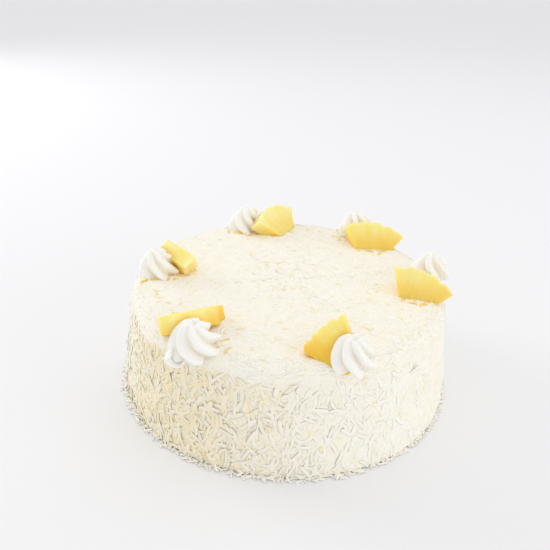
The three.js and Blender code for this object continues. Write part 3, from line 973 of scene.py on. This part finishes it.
def cut_wedge(sizes, size, sector):
    """Spins the ring's section round the core by the sector, then rounds the cut edges."""
    inner, outer = sizes.core_radius * size, sizes.ring_radius * size
    bpy.ops.mesh.primitive_plane_add(size=1, rotation=(math.pi / 2, 0, 0))
    piece = bpy.context.object
    piece.scale = (outer - inner, sizes.thickness, 1)
    piece.location = ((inner + outer) / 2, 0, 0)
    bpy.ops.object.transform_apply(location=True, rotation=True, scale=True)
    editing("EDGE")
    for axis, cuts in ((0, WEDGE_ROWS), (2, WEDGE_LAYERS)):
        choose("edges", lambda e: runs_along(e, axis))
        bpy.ops.mesh.subdivide(number_cuts=cuts)
    bpy.ops.mesh.select_mode(type="FACE")
    bpy.ops.mesh.select_all(action="SELECT")
    bpy.ops.mesh.spin(steps=WEDGE_STEPS, angle=sector, center=(0, 0, 0), axis=(0, 0, 1))
    bpy.ops.mesh.select_all(action="SELECT")
    bpy.ops.mesh.remove_doubles(threshold=1e-6)
    face_outward()
    bpy.ops.mesh.select_all(action="DESELECT")
    bpy.ops.mesh.select_mode(type="EDGE")
    bpy.ops.mesh.edges_select_sharp(sharpness=math.radians(50))
    bpy.ops.mesh.bevel(offset=sizes.edge, segments=3, affect="EDGES", clamp_overlap=True)
    soften(piece, 1)
    spread = points_of(piece.data).mean(axis=0)
    piece.data.transform(Matrix.Rotation(math.pi / 2 - math.atan2(spread[1], spread[0]), 4, "Z"))
    return piece


def grow_flesh(mesh, sizes, size, sector, number):
    """Scallops the ring's outside, raises the fibres and notes where each point lies in the ring."""
    inner, outer = sizes.core_radius * size, sizes.ring_radius * size
    places = points_of(mesh)
    angle = np.arctan2(places[:, 0], places[:, 1])
    radius = np.hypot(places[:, 0], places[:, 1])
    share = np.clip((radius - inner) / (outer - inner), 0, 1)
    eyes = EYES_ALONG_RIM * angle / sector + number * 0.37
    notch = np.abs(np.sin(math.pi * eyes)) ** 0.6
    radius = radius - sizes.scallop * (1 - notch) * share ** 3 + 0.5 * MM * np.sin(9 * eyes) * share
    seam = (1 - notch) * share ** 2 * SEAM_DEPTH
    along = np.stack([angle * 30, share * 1.8, np.full(len(places), number * 5.0)], 1)
    half = sizes.thickness / 2
    places[:, 0], places[:, 1] = radius * np.sin(angle), radius * np.cos(angle)
    places[:, 2] *= 1 - seam / half + noise_at(along, 1) * sizes.fibre / half
    places[:, 2] += noise_at(places, 130, (0, 0, number * 3.0)) * 0.6 * MM
    move_points(mesh, places)
    layer = mesh.uv_layers.new(name="grain")
    corner = np.empty(len(mesh.loops), dtype=np.int32)
    mesh.loops.foreach_get("vertex_index", corner)
    flat = np.stack([angle[corner] / 1.2 + 0.5 + number, share[corner]], 1)
    layer.data.foreach_set("uv", flat.reshape(-1))
    for other in [layer for layer in mesh.uv_layers if layer.name != "grain"]:
        mesh.uv_layers.remove(other)


class CAKE_OT_wedges(Operator):
    """Cut the pineapple wedges from a ring and lean each on its rosette"""

    bl_idname = "cake.wedges"
    bl_label = "Pineapple wedges"

    def execute(self, context):
        sizes, cream = context.scene.wedge_sizes, context.scene.rosette_sizes
        top = context.scene.cake_sizes.height
        finish = pineapple_finish(context.scene.cake_colours)
        for number, (rosette, wedge) in enumerate(TOPPINGS, 1):
            azimuth, radius, height, width, lean, tilt, size, sector, ripeness = wedge
            piece = cut_wedge(sizes, size, math.radians(sector))
            grow_flesh(piece.data, sizes, size, math.radians(sector), number)
            middle = size * (sizes.ring_radius + sizes.core_radius) / 2
            place = placed(polar(azimuth, radius, top + height), (width, "Z"), (90 - lean, "X"), (-tilt, "Z"))
            piece.data.transform(place @ Matrix.Translation((0, -middle, 0)))
            azimuth, radius, drop, _, cream_size, _ = rosette
            # Painted shade: how near each point lies to the rosette, which shades the wedge there
            from_cream = points_of(piece.data) - np.array(polar(azimuth, radius, top - drop))
            reach = dome_radius(from_cream[:, 2], cream.height * cream_size, cream.radius * cream_size)
            near = 1 - (np.hypot(from_cream[:, 0], from_cream[:, 1]) - reach) / (4 * MM)
            note(piece.data, "wet", np.clip(near, 0, 1))
            note(piece.data, "ripe", np.full(len(near), ripeness))
            finished(piece, f"pineapple_wedge_{number}", finish, "pineapple", f"pineapple_{number}")
        return {"FINISHED"}


def area_light(name, place, aim, size, watts, colour):
    data = bpy.data.lights.new(name, "AREA")
    data.shape, data.size, data.energy, data.color = "DISK", size, watts, colour
    lamp = bpy.data.objects.new(name, data)
    bpy.context.scene.collection.objects.link(lamp)
    lamp.location = place
    lamp.rotation_euler = (Vector(aim) - Vector(place)).to_track_quat("-Z", "Y").to_euler()


def set_camera(scene):
    data = bpy.data.cameras.new("camera")
    data.sensor_width, data.lens, data.clip_start = SENSOR, LENS, 0.01
    camera = bpy.data.objects.new("camera", data)
    scene.collection.objects.link(camera)
    place = CAKE_MIDDLE + CAMERA_PLACE
    facing = (CAKE_MIDDLE + CAMERA_AIM - place).to_track_quat("-Z", "Y").to_matrix().to_4x4()
    roll = Matrix.Rotation(math.radians(CAMERA_ROLL), 4, "Z")
    camera.matrix_world = Matrix.Translation(place) @ facing @ roll
    scene.camera = camera


class CAKE_OT_stage(Operator):
    """Set the plain floor, the soft light and the camera"""

    bl_idname = "cake.stage"
    bl_label = "Stage"

    def execute(self, context):
        bpy.ops.mesh.primitive_plane_add(size=FLOOR_SIZE, location=(0, 0, 0))
        floor = context.object
        floor.name = "floor"
        floor.data.materials.append(floor_finish(context.scene.cake_colours))
        world = bpy.data.worlds.new("studio")
        world.use_nodes = True
        background = world.node_tree.nodes["Background"]
        background.inputs["Color"].default_value = (1.0, 1.0, 1.0, 1.0)
        background.inputs["Strength"].default_value = SURROUNDING_LIGHT
        context.scene.world = world
        for light in LIGHTS:
            area_light(*light)
        context.scene.view_settings.view_transform = "Standard"
        set_camera(context.scene)
        if context.scene.camera is None:
            raise RuntimeError("the stage has no camera")
        return {"FINISHED"}


OPERATORS = (
    CAKE_OT_core,
    CAKE_OT_rosettes,
    CAKE_OT_wedges,
    CAKE_OT_side_coat,
    CAKE_OT_top_coat,
    CAKE_OT_foot_shreds,
    CAKE_OT_soaked_shreds,
    CAKE_OT_stage,
)

SETTINGS = {
    "cake_sizes": CakeSizes,
    "coat_sizes": CoatSizes,
    "rosette_sizes": RosetteSizes,
    "wedge_sizes": WedgeSizes,
    "cake_colours": CakeColours,
}


class CAKE_PT_panel(Panel):
    """Lists the cake's pieces in the order in which they are made"""

    bl_label = "Pina colada cake"
    bl_idname = "CAKE_PT_panel"
    bl_space_type = "VIEW_3D"
    bl_region_type = "UI"
    bl_category = "Cake"

    def draw(self, context):
        for operator in OPERATORS:
            self.layout.operator(operator.bl_idname)


def register():
    for group in SETTINGS.values():
        bpy.utils.register_class(group)
    for name, group in SETTINGS.items():
        setattr(bpy.types.Scene, name, PointerProperty(type=group))
    for operator in (*OPERATORS, CAKE_PT_panel):
        bpy.utils.register_class(operator)


def unregister():
    for operator in (CAKE_PT_panel, *reversed(OPERATORS)):
        bpy.utils.unregister_class(operator)
    for name, group in SETTINGS.items():
        delattr(bpy.types.Scene, name)
        bpy.utils.unregister_class(group)


def main():
    register()
    for operator in OPERATORS:
        family, name = operator.bl_idname.split(".")
        if getattr(getattr(bpy.ops, family), name)() != {"FINISHED"}:
            raise RuntimeError(f"{operator.bl_label} could not be made")


if __name__ == "__main__":
    main()
